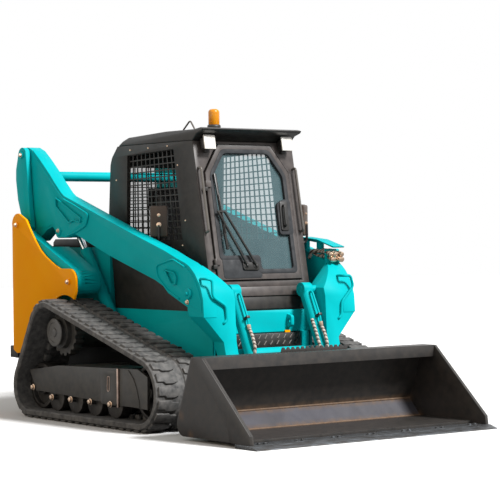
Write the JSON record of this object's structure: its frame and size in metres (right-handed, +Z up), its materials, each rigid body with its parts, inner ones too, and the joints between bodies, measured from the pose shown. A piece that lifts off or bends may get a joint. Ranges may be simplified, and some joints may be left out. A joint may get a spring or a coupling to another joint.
{
  "type": "compact track loader",
  "caption": "Compact track loader with vertical-lift arms, hydraulic cylinders, a glazed cab with a hinged front door, rubber tracks and a wide general purpose bucket.",
  "frame": {"origin": "middle of the overall box at ground level", "axes": "+X forward towards the bucket, +Y to the machine's left, +Z up"},
  "size_m": [3.33, 1.916, 2.107],
  "materials": {
    "turquoise_paint": "gloss",
    "yellow_paint": "gloss",
    "black_paint": "satin",
    "grey_paint": "satin",
    "bucket_paint": "satin",
    "worn_steel": "worn",
    "rubber": "matte",
    "cast": "matte",
    "chrome": "polished",
    "glass": "tinted",
    "seat_vinyl": "matte",
    "black_plastic": "matte",
    "white_lens": "clear",
    "amber_lens": "clear",
    "red_lens": "clear"
  },
  "bodies": {
    "machine": {"main_frame": "turquoise_paint", "front_panel": "turquoise_paint", "step_plate": "black_paint", "rear_plates": "yellow_paint", "rear_frame": "black_paint", "engine_cover": "black_paint", "engine_block": "cast", "exhaust": "cast", "tail_lamps": "red_lens", "track_left": "rubber", "track_right": "rubber", "track_frames": "black_paint", "rollers": "cast", "idlers": "cast", "sprockets": "cast", "cab_shell": "black_paint", "cab_roof": "black_plastic", "side_mesh": "black_paint", "rear_window": "glass", "seat": "seat_vinyl", "consoles": "black_plastic", "work_lamps": "white_lens", "beacon": "amber_lens", "mirrors": "black_plastic", "grab_rails": "black_paint"},
    "door": {"door_frame": "grey_paint", "door_glass": "glass", "wiper": "black_plastic"},
    "tailgate_door": {"tailgate": "yellow_paint", "tailgate_grille": "black_paint"},
    "rear_link_pair": {"rear_links": "turquoise_paint"},
    "arm": {"lift_arms": "turquoise_paint", "arm_cross_tube": "turquoise_paint", "knee_cross_member": "turquoise_paint", "hose_cover": "turquoise_paint"},
    "control_link_pair": {"control_links": "turquoise_paint"},
    "lift_barrel_pair": {"lift_barrels": "turquoise_paint"},
    "lift_rod_pair": {"lift_rods": "chrome"},
    "tilt_barrel_pair": {"tilt_barrels": "turquoise_paint"},
    "tilt_rod_pair": {"tilt_rods": "chrome"},
    "bucket_body": {"coupler": "black_paint", "bucket": "bucket_paint", "cutting_edge": "worn_steel", "bucket_step": "bucket_paint"}
  },
  "joints": [
    {"name": "arm_lift", "type": "hinge", "parent": "rear_link_pair", "child": "arm", "pos_m": [-1.56, 0, 1.851], "axis": [0, -1, 0], "range_deg": [0, 73.68]},
    {"name": "bucket_tilt", "type": "hinge", "parent": "arm", "child": "bucket_body", "pos_m": [0.755, 0, 0.2], "axis": [0, -1, 0], "range_deg": [-98, 28]},
    {"name": "cab_door", "type": "hinge", "parent": "machine", "child": "door", "pos_m": [0.44463, -0.352, 0.94382], "axis": [0.1908, 0, -0.9816], "range_deg": [0, 90]},
    {"name": "rear_door", "type": "hinge", "parent": "machine", "child": "tailgate_door", "pos_m": [-1.609, 0.597, 0.8], "axis": [0, 0, -1], "range_deg": [0, 110]},
    {"name": "rear_link_swing", "type": "hinge", "parent": "machine", "child": "rear_link_pair", "pos_m": [-1.487, 0, 1.346], "axis": [0, -1, 0], "range_deg": [-13.78, 0.1]},
    {"name": "control_link_swing", "type": "hinge", "parent": "machine", "child": "control_link_pair", "pos_m": [-0.776, 0, 0.945], "axis": [0, -1, 0], "range_deg": [-54.95, 0.1]},
    {"name": "lift_barrel_swing", "type": "hinge", "parent": "machine", "child": "lift_barrel_pair", "pos_m": [-0.585, 0, 0.58], "axis": [0, -1, 0], "range_deg": [-30.4, 0.1]},
    {"name": "lift_rod_slide", "type": "slide", "parent": "lift_barrel_pair", "child": "lift_rod_pair", "axis": [-0.5991, 0, 0.8007], "range_m": [-0.001, 0.48831]},
    {"name": "tilt_barrel_swing", "type": "hinge", "parent": "arm", "child": "tilt_barrel_pair", "pos_m": [0.525, 0, 0.89], "axis": [0, -1, 0], "range_deg": [-0.66, 2.06]},
    {"name": "tilt_rod_slide", "type": "slide", "parent": "tilt_barrel_pair", "child": "tilt_rod_pair", "axis": [0.4321, 0, -0.9018], "range_m": [-0.04721, 0.16274]}
  ],
  "couplings": [
    {"joint": "rear_link_swing", "follows": "arm_lift", "ratio": -0.18565},
    {"joint": "control_link_swing", "follows": "arm_lift", "ratio": -0.74443},
    {"joint": "lift_barrel_swing", "follows": "arm_lift", "ratio": -0.41125},
    {"joint": "lift_rod_slide", "follows": "arm_lift", "m_per_rad": 0.37896},
    {"joint": "tilt_barrel_swing", "follows": "bucket_tilt", "ratio": -0.02},
    {"joint": "tilt_rod_slide", "follows": "bucket_tilt", "m_per_rad": -0.094561}
  ]
}
